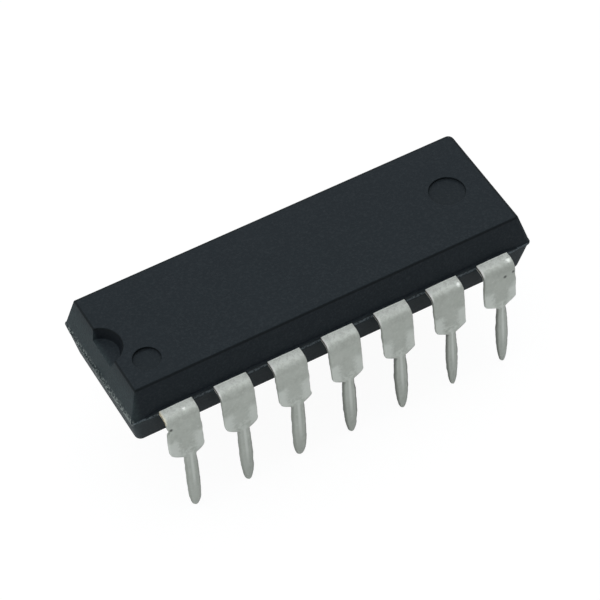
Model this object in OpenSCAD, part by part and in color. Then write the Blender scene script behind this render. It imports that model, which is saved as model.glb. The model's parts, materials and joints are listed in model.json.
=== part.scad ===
// Dual in-line package with fourteen leads: moulded body, formed leads, and the
// lead frame pad, chip and bond wires that the moulding holds. Millimetres, +Z up.
// The origin is under the middle of the body, in the plane of the lead tips.
// Lead 1 is at the notched end (-X) of the near row (-Y); lead 8 faces lead 7.

/* [Body] */
// Distance from the last lead's middle to the end of the body, at the parting line
end_margin = 2.01; // [1.7:0.01:2.3]
// Width of the body at the parting line
body_w = 6.28; // [5.9:0.02:6.5]
// Height of the upper half, from the parting line to the top face
top_h = 1.6; // [1.4:0.02:1.8]
// Depth of the lower half, from the parting line to the underside
bottom_h = 1.65; // [1.4:0.01:1.9]
// Draft angle of the two end walls, in degrees
end_draft = 16; // [5:1:18]
// Draft angle of the two side walls, in degrees
side_draft = 11.5; // [5:0.5:14]
// Radius of the four upright corners
corner_r = 0.28; // [0.15:0.01:0.4]
// Radius of the rounded edge around the top face and around the underside
edge_r = 0.09; // [0.05:0.01:0.15]
// How far the seam of moulding flash stands out all round, at the parting line
flash_w = 0.06; // [0.02:0.01:0.08]
// Thickness of that seam
flash_t = 0.05; // [0.03:0.01:0.1]

/* [Marks moulded in the body] */
// Radius of the rim of the notch that marks the lead 1 end
notch_r = 1.04; // [0.8:0.02:1.2]
// How far the notch reaches into the top face
notch_reach = 0.77; // [0.5:0.01:0.9]
// Depth of the notch
notch_depth = 0.52; // [0.4:0.02:0.9]
// Draft angle of the notch's wall, in degrees
notch_draft = 20; // [0:1:30]
// Diameter of the shallow dimple beside lead 1
dimple_d = 1.2; // [0.8:0.05:1.4]
// Distance from the end of the top face to the middle of the dimple
dimple_from_end = 1.2; // [1.1:0.01:1.6]
// Distance from the long middle line to the middle of the dimple
dimple_off = 1.54; // [1.3:0.02:1.7]
// Diameter of the marks that the ejector pins leave
ejector_d = 1.6; // [1.2:0.05:2]
// Distance from the end of the face to the middle of an ejector mark
ejector_from_end = 1.84; // [1.6:0.02:2.6]
// Depth of the dimple and of the ejector marks
mark_depth = 0.13; // [0.04:0.01:0.16]

/* [Leads] */
// Distance between neighbouring leads in a row
pitch = 2.54; // [2.3:0.01:2.6]
// Distance from the side of the body to the strip's middle just below the bend
lead_reach = 0.68; // [0.6:0.01:0.9]
// Thickness of the plated strip
strip_t = 0.28; // [0.2:0.01:0.32]
// Width of the shoulder
shoulder_w = 1.52; // [1.2:0.02:1.7]
// Inside radius of the bend
bend_r = 0.22; // [0.16:0.01:0.32]
// Outward lean of the legs, in degrees
flare = 3; // [0:0.5:4]
// Depth of the lead tips below the parting line
lead_drop = 5.8; // [5.4:0.05:6.4]
// Depth of the shoulder's lower corners below the parting line
shoulder_drop = 2.04; // [1.9:0.02:2.3]
// Slope of the shoulder's lower edges, in degrees from level
shoulder_slope = 30; // [20:1:40]
// Radius of the shoulder's lower corners
shoulder_r = 0.16; // [0.08:0.02:0.22]
// Greatest width of the pin
pin_w = 0.66; // [0.5:0.02:0.8]
// Length of the leaf-shaped outline that the pin is the lower part of
pin_l = 4.3; // [4.1:0.05:4.7]
// Width of the flat along the middle of the pin's faces
pin_flat_w = 0.26; // [0.16:0.02:0.34]

/* [Lead frame inside the body] */
// Length of the pad that carries the chip
pad_l = 3.6; // [3:0.1:4]
// Width of the pad
pad_w = 3; // [2.6:0.05:3.1]
// How far the pad lies below the level of the leads
pad_downset = 0.2; // [0.1:0.02:0.3]
// Width of the bars that tie the pad to the two ends of the frame
tie_w = 0.3; // [0.2:0.02:0.34]
// Width of the fingers that run from the leads to the pad
finger_w = 0.42; // [0.3:0.02:0.46]
// How far the wide root of a lead reaches into the body
root_l = 0.7; // [0.6:0.02:0.8]
// Diameter of the hole in each root that the moulding fills, which locks the lead
lock_d = 0.4; // [0.3:0.02:0.46]
// Clearance between the pad or tie bar and the fingers
finger_gap = 0.25; // [0.2:0.01:0.3]
// Distance from the middle line to the tip of the second finger, along the pad's long side
finger_spread = 1.3; // [1:0.05:1.4]

/* [Chip and wires] */
// Length of the chip, along the body
die_l = 1.6; // [1.5:0.05:2]
// Width of the chip
die_w = 1.3; // [1.1:0.05:1.6]
// Thickness of the chip
die_t = 0.28; // [0.2:0.01:0.35]
// Thickness of the adhesive under the chip
attach_t = 0.03; // [0.02:0.01:0.06]
// How far the adhesive spreads past the chip on each side
attach_spread = 0.1; // [0.05:0.01:0.2]
// Distance between neighbouring bond pads on the chip
bond_pitch = 0.22; // [0.16:0.01:0.24]
// Distance from the chip's edge to the middle of the bond pads
bond_inset = 0.1; // [0.08:0.01:0.15]
// Diameter of the bond wire
wire_d = 0.03; // [0.025:0.005:0.04]
// Diameter of the ball at the chip and of the flattened foot on the finger
ball_d = 0.09; // [0.08:0.005:0.12]
// Height of the ball
ball_h = 0.03; // [0.02:0.005:0.04]
// How high the wire loop's control point stands above the chip
loop_h = 0.4; // [0.3:0.02:0.5]
// Distance from a finger's end to the foot of its wire
foot_inset = 0.16; // [0.12:0.01:0.25]

/* [Hidden] */
$fa = 5;
$fs = 0.08;
leads_per_side = 7;
last_lead = 2 * leads_per_side;
middle_lead = (leads_per_side + 1) / 2;
lead_names = [for (i = [1:last_lead]) str("lead_", i)];
wire_names = [for (i = [1:last_lead]) str("bond_wire_", i)];

// Body sizes that follow from the driving ones
body_l = (leads_per_side - 1) * pitch + 2 * end_margin;
face_l = body_l - 2 * top_h * tan(end_draft);
base_l = body_l - 2 * bottom_h * tan(end_draft);

// The bend of a lead, in the plane across the body, heights taken from the parting line
bend_mid_r = bend_r + strip_t / 2;
row_spacing = body_w + 2 * lead_reach;
bend_y = row_spacing / 2 - bend_mid_r * cos(flare);
bend_z = -bend_mid_r;
leg_l = (lead_drop + bend_z + bend_mid_r * sin(flare)) / cos(flare);
shoulder_l = (shoulder_drop + bend_z + bend_mid_r * sin(flare)) / cos(flare);
pin_sides = 36;
pin_edge_t = strip_t / 3;
overlap = 0.1;
corner_step = 15;

// Heights inside the body, taken from the parting line
pad_top = strip_t / 2 - pad_downset;
die_z = pad_top + attach_t;
die_top = die_z + die_t;
finger_top = strip_t / 2;

// Colours of the materials
epoxy_colour = [0.16, 0.18, 0.20];
solder_colour = [0.60, 0.62, 0.59];
copper_colour = [0.72, 0.47, 0.30];
silicon_colour = [0.38, 0.40, 0.46];
adhesive_colour = [0.80, 0.80, 0.76];
gold_colour = [0.90, 0.72, 0.30];

// Vector helpers
function unit(v) = v / norm(v);
function left_of(v) = [-v[1], v[0]];

// Closed solid through rings of equally many points, which run anticlockwise seen from the last
module loft(rings) {
    count = len(rings[0]);
    last = len(rings) - 1;
    sides = [for (n = [0:last - 1], a = [0:count - 1])
        let (b = (a + 1) % count, lo = n * count, hi = lo + count)
        [lo + a, hi + a, hi + b, lo + b]];
    first_cap = [for (a = [0:count - 1]) a];
    last_cap = [for (a = [count - 1:-1:0]) last * count + a];
    polyhedron([for (ring = rings) each ring], concat([first_cap], sides, [last_cap]), convexity = 4);
}

// Rounded rectangle of the moulding at height z from the parting line, drawn in by inset
function body_ring(z, inset) =
    let (x = body_l / 2 - abs(z) * tan(end_draft) - inset - corner_r,
         y = body_w / 2 - abs(z) * tan(side_draft) - inset - corner_r)
    [for (corner = [0:3], a = [0:corner_step:90])
        let (turn = 90 * corner + a)
        [(corner == 0 || corner == 3 ? x : -x) + corner_r * cos(turn),
         (corner < 2 ? y : -y) + corner_r * sin(turn), z]];

// Drafted walls of both halves, with the flash between them and a rounded edge at each face
module moulding() {
    underside = [for (a = [90:-30:0])
        body_ring(edge_r * (1 - sin(a)) - bottom_h, edge_r * (1 - cos(a)))];
    top = [for (a = [0:30:90]) body_ring(top_h - edge_r * (1 - sin(a)), edge_r * (1 - cos(a)))];
    flash = [body_ring(-flash_t / 2, 0), body_ring(-flash_t / 2, -flash_w),
             body_ring(flash_t / 2, -flash_w), body_ring(flash_t / 2, 0)];
    loft(concat(underside, flash, top));
}

// Cylinder that cuts a shallow mark into a face at height z, down by depth
module mark(x, y, z, d, depth) {
    translate([x, y, z - depth]) cylinder(d = d, h = depth + overlap);
}

// Cone that cuts the notch, drafted so that the moulding leaves its mould
module notch() {
    translate([notch_reach - face_l / 2 - notch_r, 0, top_h - notch_depth])
        cylinder(r1 = notch_r - notch_depth * tan(notch_draft),
                 r2 = notch_r + overlap * tan(notch_draft), h = notch_depth + overlap);
}

// Notch, dimple and ejector marks, cut from the body
module body_marks() {
    notch();
    mark(dimple_from_end - face_l / 2, -dimple_off, top_h, dimple_d, mark_depth);
    mark(face_l / 2 - ejector_from_end, 0, top_h, ejector_d, mark_depth);
    for (side = [-1, 1])
        mirror([0, 0, 1])
            mark(side * (base_l / 2 - ejector_from_end), 0, bottom_h, ejector_d, mark_depth);
}

// Which finger shape a lead has: 0 for the middle lead, up to 3 for an end lead
function finger_order(i) = abs(i - middle_lead);
// Left or right of the middle lead
function finger_side(i) = sign(i - middle_lead);
// Middle of a lead along its row
function lead_x(i) = (i - middle_lead) * pitch;

// Ends of the fingers of the near row, drawn for the right-hand side. Fingers 0 and 1 point
// at the pad's long side, and fingers 2 and 3 at its short side.
function finger_tip(k) =
    k <= 1 ? [k * finger_spread, -pad_w / 2 - finger_gap]
  : k == 2 ? [pad_l / 2 + finger_gap, -pad_w / 2 + finger_w / 2]
  : [pad_l / 2 + finger_gap, -tie_w / 2 - finger_gap - finger_w / 2];
function root_end(k) = [k * pitch, root_l - body_w / 2];
// Where a finger turns: halfway in from its root, in line with its tip
function finger_elbow(k) =
    let (tip = finger_tip(k), root = root_end(k))
    k <= 1 ? [tip[0], (tip[1] + root[1]) / 2] : [(tip[0] + root[0]) / 2, tip[1]];
function finger_path(k) = [root_end(k) - [0, overlap], root_end(k), finger_elbow(k), finger_tip(k)];

// Corner of a strip of width w that follows path, on its left (side 1) or right (side -1)
function strip_corner(path, n, w, side) =
    let (last = len(path) - 1,
         a = unit(path[max(n, 1)] - path[max(n, 1) - 1]),
         b = unit(path[min(n + 1, last)] - path[min(n + 1, last) - 1]),
         m = unit(left_of(a) + left_of(b)))
    path[n] + side * m * w / 2 / (m * left_of(a));
function strip_outline(path, w) =
    let (last = len(path) - 1)
    concat([for (n = [0:last]) strip_corner(path, n, w, 1)],
           [for (n = [last:-1:0]) strip_corner(path, n, w, -1)]);

// Level part of lead i of the near row, from its bend to its finger's tip
module lead_finger(i) {
    k = finger_order(i);
    translate([0, 0, -strip_t / 2])
        linear_extrude(strip_t)
            difference() {
                union() {
                    translate([lead_x(i) - shoulder_w / 2, -bend_y])
                        square([shoulder_w, bend_y - body_w / 2 + root_l]);
                    mirror([finger_side(i) < 0 ? 1 : 0, 0])
                        polygon(strip_outline(finger_path(k), finger_w));
                }
                translate([lead_x(i), (root_l - body_w) / 2]) circle(d = lock_d);
            }
}

// Outline of a shoulder, down from the bend: square above, rounded and sloping below
module shoulder_outline() {
    neck_x = pin_w / 4;
    neck_y = -shoulder_l - (shoulder_w / 2 - neck_x) * tan(shoulder_slope);
    turn = 90 - shoulder_slope;
    arc_x = shoulder_w / 2 - shoulder_r;
    arc_y = -shoulder_l + shoulder_r * tan(turn / 2);
    lower_right = [for (a = [0:turn / 4:turn])
        [arc_x + shoulder_r * cos(a), arc_y - shoulder_r * sin(a)]];
    lower_left = [for (n = [len(lower_right) - 1:-1:0]) [-lower_right[n][0], lower_right[n][1]]];
    polygon(concat([[-shoulder_w / 2, 0], [shoulder_w / 2, 0]], lower_right,
                   [[neck_x, neck_y], [-neck_x, neck_y]], lower_left));
}

// Leaf-shaped outline whose lower tip is the lead's tip, drawn in by inset
module leaf_outline(inset) {
    polygon([for (n = [0:pin_sides - 1])
        let (a = 360 * n / pin_sides)
        [(pin_w / 2 - inset) * sin(a), (pin_l / 2 - inset) * cos(a) - leg_l + pin_l / 2]]);
}

// Pin with flat middle, sloping faces and a thin edge
module pin() {
    hull() {
        linear_extrude(pin_edge_t, center = true) leaf_outline(0);
        linear_extrude(strip_t, center = true) leaf_outline((pin_w - pin_flat_w) / 2);
    }
}

// Shoulder and pin of a lead of the near row, hanging from its bend
module leg() {
    translate([0, -bend_y, bend_z])
        rotate([-flare, 0, 0])
            translate([0, -bend_mid_r, 0])
                rotate([90, 0, 0]) {
                    linear_extrude(strip_t, center = true) shoulder_outline();
                    pin();
                }
}

// Quarter turn of the strip between its level part and its leg
module bend() {
    translate([-shoulder_w / 2, -bend_y, bend_z])
        rotate([90, 0, 90])
            rotate([0, 0, 90])
                rotate_extrude(angle = 90 - flare)
                    translate([bend_r, 0]) square([strip_t, shoulder_w]);
}

// Puts what is drawn for a lead of the near row at its place for any lead
module at_row(i) {
    rotate([0, 0, i > leads_per_side ? 180 : 0]) children();
}
// Lead of the near row with the same shape as lead i
function near_lead(i) = (i - 1) % leads_per_side + 1;

module lead(i) {
    n = near_lead(i);
    color(solder_colour)
        translate([0, 0, lead_drop])
            at_row(i) {
                lead_finger(n);
                translate([lead_x(n), 0, 0]) {
                    bend();
                    leg();
                }
            }
}

// Pad set below the leads, with a tie bar cut off level with the flash at each end of the body
module die_pad() {
    ramp_l = 2 * pad_downset;
    bar_end = body_l / 2 + flash_w;
    color(copper_colour)
        translate([0, 0, lead_drop]) {
            translate([-pad_l / 2, -pad_w / 2, pad_top - strip_t])
                cube([pad_l, pad_w, strip_t]);
            for (side = [0, 1])
                mirror([side, 0, 0])
                    translate([0, tie_w / 2, 0])
                        rotate([90, 0, 0])
                            linear_extrude(tie_w)
                                polygon([[pad_l / 2 - overlap, pad_top],
                                         [pad_l / 2, pad_top],
                                         [pad_l / 2 + ramp_l, finger_top],
                                         [bar_end, finger_top],
                                         [bar_end, finger_top - strip_t],
                                         [pad_l / 2 + ramp_l, finger_top - strip_t],
                                         [pad_l / 2, pad_top - strip_t],
                                         [pad_l / 2 - overlap, pad_top - strip_t]]);
        }
}

module die_attach() {
    l = die_l + 2 * attach_spread;
    w = die_w + 2 * attach_spread;
    color(adhesive_colour)
        translate([-l / 2, -w / 2, lead_drop + pad_top]) cube([l, w, attach_t]);
}

module die() {
    color(silicon_colour)
        translate([-die_l / 2, -die_w / 2, lead_drop + die_z]) cube([die_l, die_w, die_t]);
}

// Middle of the bond pad on the chip, and of the wire's foot on the finger, for the near row
function bond_at(i) = [(i - middle_lead) * bond_pitch, bond_inset - die_w / 2];
function foot_at(i) =
    let (k = finger_order(i),
         tip = finger_tip(k),
         at = tip + foot_inset * unit(finger_elbow(k) - tip))
    [at[0] * (finger_side(i) < 0 ? -1 : 1), at[1]];

// Wire path seen from the side: distance along the wire's run, and height
wire_steps = 8;
wire_sides = 8;
function bezier(p, s) =
    (1 - s) ^ 3 * p[0] + 3 * (1 - s) ^ 2 * s * p[1] + 3 * (1 - s) * s ^ 2 * p[2] + s ^ 3 * p[3];
function wire_path(run) =
    let (start = [0, die_top + ball_h / 2],
         rise = [0, die_top + ball_h + wire_d],
         foot = [run, finger_top + wire_d / 2],
         p = [rise, [0, die_top + loop_h], [run * 0.6, die_top + loop_h / 2], foot])
    concat([start], [for (n = [0:wire_steps]) bezier(p, n / wire_steps)]);

// Round section of the wire at point n of its path, cut on the mitre so that its sides stay flat
function wire_ring(path, n) =
    let (last = len(path) - 1,
         a = unit(path[max(n, 1)] - path[max(n, 1) - 1]),
         b = unit(path[min(n + 1, last)] - path[min(n + 1, last) - 1]),
         m = unit(left_of(a) + left_of(b)),
         r = wire_d / 2)
    [for (s = [0:wire_sides - 1])
        let (t = 360 * (s + 0.5) / wire_sides,
             in_plane = path[n] + m * r * sin(t) / (m * left_of(a)))
        [in_plane[0], r * cos(t), in_plane[1]]];

module wire_sweep(run) {
    path = wire_path(run);
    loft([for (n = [0:len(path) - 1]) wire_ring(path, n)]);
}

// Bond wire of lead i: ball on the chip, loop, and flattened foot on the finger
module bond_wire(i) {
    n = near_lead(i);
    from = bond_at(n);
    to = foot_at(n);
    run = norm(to - from);
    heading = atan2(to[1] - from[1], to[0] - from[0]);
    color(gold_colour)
        translate([0, 0, lead_drop])
            at_row(i)
                translate([from[0], from[1], 0])
                    rotate([0, 0, heading]) {
                        wire_sweep(run);
                        translate([0, 0, die_top]) cylinder(d = ball_d, h = ball_h, $fn = 12);
                        translate([run, 0, finger_top])
                            cylinder(d = ball_d, h = wire_d * 2 / 3, $fn = 12);
                    }
}

// Everything that the moulding is moulded around
module inserts() {
    for (i = [1:last_lead]) {
        translate([0, 0, lead_drop]) at_row(i) lead_finger(near_lead(i));
        bond_wire(i);
    }
    die_pad();
    die_attach();
    die();
}

module moulded_body() {
    color(epoxy_colour)
        difference() {
            translate([0, 0, lead_drop])
                difference() {
                    moulding();
                    body_marks();
                }
            inserts();
        }
}

moulded_body();
for (i = [1:last_lead])
    lead(i);
die_pad();
die_attach();
die();
for (i = [1:last_lead])
    bond_wire(i);
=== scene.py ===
# %% [markdown]
# # A dual in-line chip, dressed on its frame
#
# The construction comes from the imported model: a moulded body, fourteen formed leads, and the
# pad, chip and bond wires inside. This lesson gives each of them its finish. The body and the
# leads get finer meshes of the same size in the same place, because a moulding seam, a rounded
# edge or a coat of solder is too small for the frame to hold. The rest keeps the frame's mesh.

# %% Load the frame
import json
import math
import random

import bmesh
import bpy
import numpy as np
from mathutils import Matrix, Vector

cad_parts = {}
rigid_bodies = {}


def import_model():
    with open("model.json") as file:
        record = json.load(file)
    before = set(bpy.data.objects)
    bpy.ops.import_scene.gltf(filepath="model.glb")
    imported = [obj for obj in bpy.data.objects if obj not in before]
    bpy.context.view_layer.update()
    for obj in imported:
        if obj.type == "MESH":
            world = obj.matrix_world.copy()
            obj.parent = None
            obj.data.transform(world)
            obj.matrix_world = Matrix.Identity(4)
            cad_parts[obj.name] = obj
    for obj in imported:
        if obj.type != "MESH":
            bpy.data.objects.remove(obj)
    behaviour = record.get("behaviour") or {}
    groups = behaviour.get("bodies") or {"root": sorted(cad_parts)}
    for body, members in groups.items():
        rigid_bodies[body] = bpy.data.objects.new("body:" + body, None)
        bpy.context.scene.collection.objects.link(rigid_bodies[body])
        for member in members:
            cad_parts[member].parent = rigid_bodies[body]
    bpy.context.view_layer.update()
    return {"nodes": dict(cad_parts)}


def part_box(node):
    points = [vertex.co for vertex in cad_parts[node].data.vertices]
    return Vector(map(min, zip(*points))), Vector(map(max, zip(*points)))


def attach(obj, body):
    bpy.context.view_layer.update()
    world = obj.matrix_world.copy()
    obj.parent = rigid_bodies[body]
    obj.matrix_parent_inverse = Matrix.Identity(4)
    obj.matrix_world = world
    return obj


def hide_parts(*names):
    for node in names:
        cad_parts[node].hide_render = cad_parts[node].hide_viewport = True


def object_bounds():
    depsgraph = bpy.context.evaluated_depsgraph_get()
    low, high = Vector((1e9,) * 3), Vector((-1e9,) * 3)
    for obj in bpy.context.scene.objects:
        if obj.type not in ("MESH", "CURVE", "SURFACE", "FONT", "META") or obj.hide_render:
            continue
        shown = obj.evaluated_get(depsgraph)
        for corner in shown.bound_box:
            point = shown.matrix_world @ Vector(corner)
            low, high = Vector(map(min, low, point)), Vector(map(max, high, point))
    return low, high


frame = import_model()
print("frame:", len(frame["nodes"]), "nodes")

# %% [markdown]
# ## Sizes
#
# Everything is in metres, so a size is written in millimetres and multiplied once. The places
# that matter most, the moulding's box and the height of its seam, are read from the frame.

# %% Sizes shared by the pieces
mm = 0.001
leads_per_side = 7
pitch = 2.54 * mm
strip_t = 0.28 * mm
body_low, body_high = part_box("moulded_body")
flash_w = 0.06 * mm
half_l = body_high.x - flash_w
half_w = body_high.y - flash_w
seam_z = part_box("lead_1")[1].z - strip_t / 2
tip_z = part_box("lead_1")[0].z
end_draft = math.radians(16)
side_draft = math.radians(11.5)
face_half_l = half_l - (body_high.z - seam_z) * math.tan(end_draft)
face_half_w = half_w - (body_high.z - seam_z) * math.tan(side_draft)
print(f"seam {seam_z / mm:.2f} mm above the tips, top face {body_high.z / mm:.2f} mm")

# %% [markdown]
# ## Camera
#
# The viewpoint was worked out from the straight edges of the body and the even spacing of the
# leads. It is a long lens about 12 cm away, turned a little to the notched end and looking down
# at 50 degrees. Aim is the point that it looks at, given across and up in its own picture.

# %% Camera
azimuth = math.radians(-26.42)
elevation = math.radians(50.145)
roll = math.radians(-3.507)
camera_distance = 119.13 * mm
aim_across = 0.02 * mm
aim_up = -0.753 * mm
sensor = 36.0
focal_length = 167.85


def camera_axes():
    """Right, up and backward directions of the camera's picture."""
    back = Vector((math.sin(azimuth) * math.cos(elevation),
                   -math.cos(azimuth) * math.cos(elevation), math.sin(elevation)))
    level = Vector((0, 0, 1)).cross(back).normalized()
    upright = back.cross(level)
    right = math.cos(roll) * level + math.sin(roll) * upright
    up = math.cos(roll) * upright - math.sin(roll) * level
    return right, up, back


right, up, back = camera_axes()
camera = bpy.data.objects.new("camera", bpy.data.cameras.new("camera"))
camera.data.sensor_width = sensor
camera.data.lens = focal_length
camera.data.clip_start = 1 * mm
camera.data.clip_end = 10
camera.matrix_world = Matrix((right, up, back)).transposed().to_4x4()
camera.location = (Vector((0, 0, seam_z)) + right * aim_across + up * aim_up
                   + back * camera_distance)
bpy.context.scene.collection.objects.link(camera)
bpy.context.scene.camera = camera
bpy.context.scene.view_settings.view_transform = "Standard"
print(f"camera {camera.location.length / mm:.0f} mm away, lens {focal_length:.0f} mm")

# %% [markdown]
# ## Node trees written as sums
#
# Materials and Geometry Nodes are both node trees. Adding each Math node by hand hides the
# formula, so a small class wraps a socket, and the usual operators add the nodes. The same class
# serves both kinds of tree, because they share their Math and Vector Math nodes.

# %% A socket that can be added, multiplied and compared


class Signal:
    """An output socket of a tree. A sum written with it adds its Math nodes to the tree."""

    def __init__(self, tree, socket):
        self.tree = tree
        self.socket = socket

    def __add__(self, other):
        return self.tree.math("ADD", self, other)

    __radd__ = __add__

    def __sub__(self, other):
        return self.tree.math("SUBTRACT", self, other)

    def __rsub__(self, other):
        return self.tree.math("SUBTRACT", other, self)

    def __mul__(self, other):
        return self.tree.math("MULTIPLY", self, other)

    __rmul__ = __mul__

    def __truediv__(self, other):
        return self.tree.math("DIVIDE", self, other)

    def __pow__(self, other):
        return self.tree.math("POWER", self, other)

    def __abs__(self):
        return self.tree.math("ABSOLUTE", self)

    def at_least(self, other):
        return self.tree.math("MAXIMUM", self, other)

    def at_most(self, other):
        return self.tree.math("MINIMUM", self, other)

    def between(self, low, high):
        return self.at_least(low).at_most(high)

    def step(self, low, high):
        """0 below low, 1 above high, and a smooth rise between them."""
        t = ((self - low) / (high - low)).between(0, 1)
        return t * t * (3 - 2 * t)

    def fall(self, low, high):
        """1 below low, 0 above high, and a smooth fall between them."""
        return 1 - self.step(low, high)

    def band(self, rise, fall):
        """1 between a rise and a fall, each given as its two ends."""
        return self.step(*rise) * self.fall(*fall)


class Tree:
    """An emptied node tree, with one method that adds any node, and some short forms of it."""

    def __init__(self, tree):
        tree.nodes.clear()
        self.tree = tree
        self.added = 0

    def node(self, kind, settings=None, inputs=None):
        """Adds a node: its settings are set first, then the values or links of its sockets."""
        made = self.tree.nodes.new(kind)
        made.location = (180 * (self.added % 24), -220 * (self.added // 24))
        self.added += 1
        for name, value in (settings or {}).items():
            setattr(made, name, value)
        for name, value in (inputs or {}).items():
            self.put(made.inputs[name], value)
        return made

    def put(self, socket, value):
        if isinstance(value, Signal):
            self.tree.links.new(value.socket, socket)
        else:
            socket.default_value = value

    def out(self, made, name=0):
        return Signal(self, made.outputs[name])

    def math(self, operation, *values):
        made = self.node("ShaderNodeMath", {"operation": operation}, dict(enumerate(values)))
        return self.out(made)

    def vector(self, operation, *values):
        made = self.node("ShaderNodeVectorMath", {"operation": operation}, dict(enumerate(values)))
        return self.out(made)

    def scaled(self, vector, factor):
        made = self.node("ShaderNodeVectorMath", {"operation": "SCALE"},
                         {"Vector": vector, "Scale": factor})
        return self.out(made)

    def joined(self, x, y, z):
        return self.out(self.node("ShaderNodeCombineXYZ", None, {"X": x, "Y": y, "Z": z}))

    def parts(self, vector):
        made = self.node("ShaderNodeSeparateXYZ", None, {"Vector": vector})
        return [self.out(made, axis) for axis in "XYZ"]

    def noise(self, vector, scale, detail=2.0, rough=0.5):
        made = self.node("ShaderNodeTexNoise", None, {
            "Vector": vector, "Scale": scale, "Detail": detail, "Roughness": rough})
        return self.out(made)


print("node helpers ready")

# %% [markdown]
# ## Materials
#
# Every material ends in one Principled shader. What stays the same over the surface is set on
# the shader's own socket, and what changes is worked out from Object coordinates. They are in
# metres, so they are brought to millimetres first: a noise scale of 20 is a grain of 0.05 mm.
# A finish keeps its colour so far, and each further colour is laid over it through a mask.

# %% A material with one shader


class Finish(Tree):
    """A material tree with a Principled shader and coordinates in millimetres."""

    def __init__(self, name, **constants):
        self.material = bpy.data.materials.new(name)
        self.material.use_nodes = True
        super().__init__(self.material.node_tree)
        self.shader = self.node("ShaderNodeBsdfPrincipled", None, constants)
        self.node("ShaderNodeOutputMaterial", None, {"Surface": self.out(self.shader)})
        place = self.node("ShaderNodeTexCoord")
        self.at = self.scaled(self.out(place, "Object"), 1 / mm)

    def mix(self, factor, a, b):
        made = self.node("ShaderNodeMix", {"data_type": "RGBA"})
        self.put(made.inputs["Factor"], factor)
        self.put(made.inputs[6], a)
        self.put(made.inputs[7], b)
        return self.out(made, 2)

    def lay(self, factor, colour):
        """Lays a colour over the ones so far, as thickly as the factor says."""
        self.colour = self.mix(factor, self.colour, colour)

    def attribute(self, name):
        return self.out(self.node("ShaderNodeAttribute", {"attribute_name": name}), "Fac")

    def drive(self, **inputs):
        for name, value in inputs.items():
            self.put(self.shader.inputs[name.replace("_", " ")], value)

    def bump(self, height, depth):
        """Raises the surface by height times depth, in metres."""
        made = self.node("ShaderNodeBump", None,
                         {"Height": height, "Distance": depth, "Strength": 1.0})
        self.put(self.shader.inputs["Normal"], self.out(made, "Normal"))


def rgb(red, green, blue):
    return (red, green, blue, 1.0)


print("material helper ready")

# %% [markdown]
# ### Moulding compound
#
# The body is epoxy filled with ground silica. It is a bluish black, dull rather than glossy,
# with a fine even grain from the spark-eroded mould. One noise gives the grain, to the colour
# and to the bump, and a much wider one makes the black a little uneven. The material keeps the
# places that its wear and its painted light and shade follow: height, the distance from the
# notched end, and the two sides.

# %% Plain moulding compound
top_mm = body_high.z / mm
seam_mm = seam_z / mm
side_mm = half_w / mm
grain_scale = 9
cloud_scale = 0.55
pore_scale = 30
grain_depth = 0.018 * mm


class Compound(Finish):
    """The body's material, with the places that its colours follow, in millimetres."""

    def __init__(self):
        super().__init__("moulding_compound", **{
            "Specular IOR Level": 0.21, "IOR": 1.5, "Specular Tint": rgb(0.84, 0.98, 1.0)})
        self.x, self.y, self.z = self.parts(self.at)
        self.above = self.z - seam_mm
        self.from_end = self.x - body_low.x / mm
        self.from_middle = abs(self.y)
        self.grain = self.noise(self.at, grain_scale, 3, 0.75)
        cloud = self.noise(self.at, cloud_scale, 3)
        self.colour = self.mix(cloud, rgb(0.0070, 0.0105, 0.0155), rgb(0.0100, 0.0140, 0.0195))
        self.lay((self.grain - 0.46).between(0, 1) * 2.4, rgb(0.030, 0.036, 0.042))


print(f"grain about {1 / grain_scale:.2f} mm across")

# %% [markdown]
# The notched end is painted a shade paler, as the low light from the left makes it, and the
# whole lower half is painted a shade paler, as the white floor below lights it. Where the mould
# halves met at that end, thin flash has broken away and left pale chips of filler. A painted
# highlight lies along the edge of the flash all round, where it catches the light. Each of these
# is a function that lays one more colour, through a mask made of smooth steps.

# %% Chips at the seam, and painted light at the notched end and below the seam


# Painted light: the notched end is coloured paler where the low light from the left falls on it,
# unevenly with the grain.
def painted_light_on_end(skin):
    worn = skin.from_end.fall(0.3, 0.65) * (0.5 + 0.5 * skin.grain.step(0.38, 0.65))
    skin.lay(worn, rgb(0.033, 0.047, 0.051))


# Painted light: the lower half is coloured paler, as the white floor below lights it.
def painted_light_below_seam(skin):
    below = skin.z.fall(seam_mm - 0.1, seam_mm + 0.17)
    skin.lay(0.30 * below, rgb(0.040, 0.052, 0.058))


def chipped_seam(skin):
    """Pale chips at the notched end: more of them close to the seam and to the near side."""
    near_seam = abs(skin.above).fall(0.04, 0.36)
    at_end = skin.from_end.fall(0.08, 0.24)
    chips = (skin.noise(skin.at, grain_scale, 3, 0.8) + 0.08 * near_seam
             + 0.05 * skin.y.fall(-2.5, 0.5)).step(0.56, 0.66)
    skin.lay((near_seam * at_end * chips).between(0, 1), rgb(0.26, 0.29, 0.28))


def flash_edge_highlight(skin):
    """Painted highlight on the lower lip of the ledge between the leads and on the fin beyond it.
    """
    lip = skin.above.band((-0.12, -0.07), (0.0, 0.05))
    outer = skin.from_middle.step(side_mm + 0.01, side_mm + 0.03)
    fin = abs(skin.above).fall(0.035, 0.05) * skin.from_middle.step(side_mm - 0.02, side_mm + 0.01)
    edge = (lip * outer).at_least(fin) * skin.grain.step(0.38, 0.58)
    skin.lay(0.8 * edge, rgb(0.15, 0.18, 0.20))


print("wear at the seam ready")

# %% [markdown]
# Shade is painted onto two parts of the moulding, darker than the light alone makes them: the
# wall of the notch, and the rounded edges round the top face. The far edge and the one at the
# plain end get this painted shade over their whole width.

# %% Painted shade in the notch and on the edges, and the whole finish
# Heights of the band of painted shade on the rounded edges round the top face.
edge_shade_heights = (top_mm - 0.12, top_mm - 0.07)


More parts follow.
